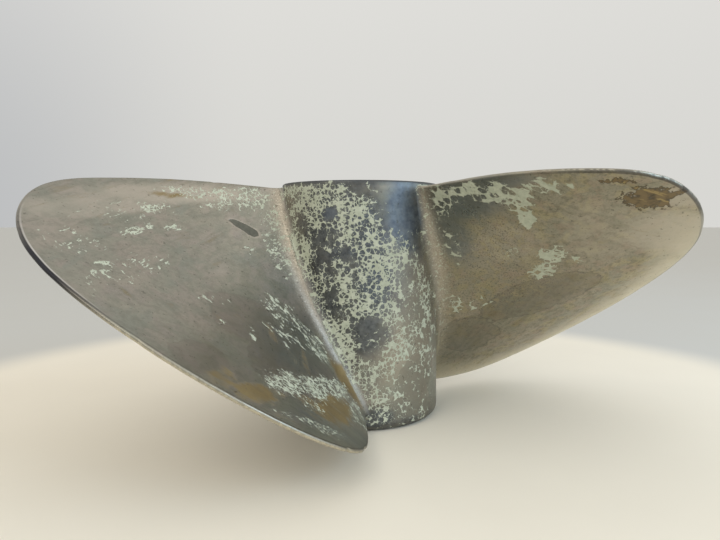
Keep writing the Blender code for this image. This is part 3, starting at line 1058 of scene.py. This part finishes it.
cell_colour = Shade.node("TexVoronoi", {"feature": "F1"}, spread, "Color")
lottery = Shade.node("SeparateColor", {}, {0: cell_colour})
to_wall = Shade.node("TexVoronoi", {"feature": "DISTANCE_TO_EDGE"}, spread)
hole = 1.00 - 0.72 * coat + 0.24 * (lottery - 0.5)
wall_share = rise(0.30 * (coat - 0.40) - to_wall, -0.02, 0.03)
net = Shade.math("MAXIMUM", rise(from_middle - hole, -0.02, 0.06), wall_share)
low_flakes = blotches(streaked(flow, low_turn, 1.9, 0.7), 0.0030, 4.0, 0.6)
high_flakes = blotches(streaked(flow, high_turn, 1.4, 0.8), 0.0030, 4.0, 0.6)
switch = rise(chord_share + 0.3 * (patches - 0.5), 0.15, 0.25)
flake_noise = low_flakes * (1 - switch) + high_flakes * switch
flakes = rise(flake_noise + 0.80 * coat, 0.95, 1.03) * rise(from_middle, 0.20, 0.34)
net_share = rise(chord_share, 0.62, 0.74) + rise(chord_share, -0.40, -0.55)
net_share = Shade.math("MAXIMUM", 1 - on_face, net_share)
paint = net * net_share + flakes * (1 - net_share)
chips = rise(blotches(place, 0.0017, 1.0) + 0.45 * coat, 1.12, 1.2)
paint = Shade.math("MAXIMUM", paint, chips) * rise(coat, 0.10, 0.22)
pinholes = rise(blotches(shifted(place, 0.33), 0.0019, 1.0), 0.77, 0.86) * (1 - 0.8 * on_back)
paint = paint * (1 - 0.85 * pinholes)
flecks = rise(blotches(shifted(place, 0.5), 0.0026, 2.0, 0.6, 0.8), 0.74, 0.82)
paint = Shade.math("MAXIMUM", paint, flecks * in_fillet * on_back)
ghosts = rise(to_wall, 0.07, 0.03) * rise(patches + 0.5 * coat, 0.75, 0.95) * rough_cast
metal = blend(0.35 * ghosts, metal, ghost_green)
paint_tone = blend(small, dark_green, pale_green)
paint_tone = blend(0.35 * rise(mottle, 0.5, 0.9), paint_tone, grimy_green)
shown = blend(paint, metal, paint_tone)

# The gouge: a blow has cut a short groove into the driving face of one blade, near its root. It is dark
# inside, and a painted highlight makes it pale round its lip.
gouge_on_face = (
    (100, 153, 11.5, 3.2, 37, 1.0),
    (95, 149.5, 5, 3.8, 37, 1.0),
)
gouge_lip_highlight, gouge_dark, gouge_floor = (0.47, 0.42, 0.35), (0.062, 0.060, 0.043), (0.120, 0.115, 0.084)
gouge = keep("gouge", all_round(gouge_on_face, (), (), elsewhere=0.0))
gouge_share = rise(gouge + 0.30 * (small - 0.5), 0.40, 0.52)
# A painted highlight pales the gouge's lip.
shown = blend(0.5 * rise(gouge, 0.02, 0.3), shown, gouge_lip_highlight)
shown = blend(gouge_share, shown, blend(small, gouge_dark, gouge_floor))

# The surface of the casting: bare bronze shines as metal does, while paint, stains and the gouge are dull.
# The paint stands up from it a little, the gouge is sunk into it, and the rough cast parts are grainy.
cover = Shade.math("MAXIMUM", paint, gouge_share)
stain = Shade.math("MAXIMUM", ochre_share, brown_share)
metallic = (1 - cover) * (0.96 - 0.45 * stain)
rough = 0.36 + 0.14 * mottle + 0.10 * (streaks - 0.5) + 0.12 * stain - 0.14 * slate_share
rough = rough + 0.12 * in_fillet + 0.10 * on_hub
rough = rough * (1 - cover) + 0.60 * cover
relief = 0.13 * paint + 0.020 * grain + 0.020 * small + 0.020 * scratches - 0.35 * gouge_share
relief = relief + rough_cast * (0.15 * small + 0.06 * grain)
bump = Shade.node("Bump", {}, {"Height": relief, "Distance": 0.001, "Strength": 0.8})
surface = {"Base Color": shown, "Metallic": metallic, "Roughness": rough, "Normal": bump}
feed(bronze.node_tree.nodes["Principled BSDF"], surface)

# The turned ends of the hub and the bored hole: fine rings from the lathe's tool round the shaft, in bronze
# that has gone brown in clouds. The bore is browner, and its rings are coarser.
pale_turned, tan_turned, brown_turned = (0.33, 0.295, 0.225), (0.42, 0.38, 0.29), (0.13, 0.12, 0.10)


def turned_finish(name, kept_bright, ring_scale):
    """The material of a turned or bored surface. It browns less the more of it was kept bright."""
    finish = bpy.data.materials.new(name)
    finish.use_nodes = True
    casting_mesh.materials.append(finish)
    Shade.tree = finish.node_tree
    place = Shade.node("TexCoord", output="Object")
    clouds = blotches(place, 0.020, 4.0, 0.6)
    grain = blotches(shifted(place, 0.2), 0.0015, 2.0, 0.6)
    wave = {"wave_type": "RINGS", "rings_direction": "Z"}
    wave_sockets = {"Vector": place, "Scale": ring_scale, "Distortion": 0.4, "Detail": 1.0}
    rings = Shade.node("TexWave", wave, wave_sockets, "Fac")
    tone = blend(clouds, pale_turned, tan_turned)
    tone = blend(rise(clouds + 0.5 * (grain - 0.5), 0.2 + kept_bright, 0.9), tone, brown_turned)
    bump = Shade.node("Bump", {}, {"Height": rings + 0.5 * grain, "Distance": 0.00002, "Strength": 1.0})
    surface = {"Base Color": tone, "Metallic": 0.95, "Roughness": 0.34 + 0.16 * clouds, "Normal": bump}
    feed(finish.node_tree.nodes["Principled BSDF"], surface)


turned_finish("turned_bronze", kept_bright=0.2, ring_scale=260.0)
turned_finish("bored_bronze", kept_bright=0.0, ring_scale=180.0)
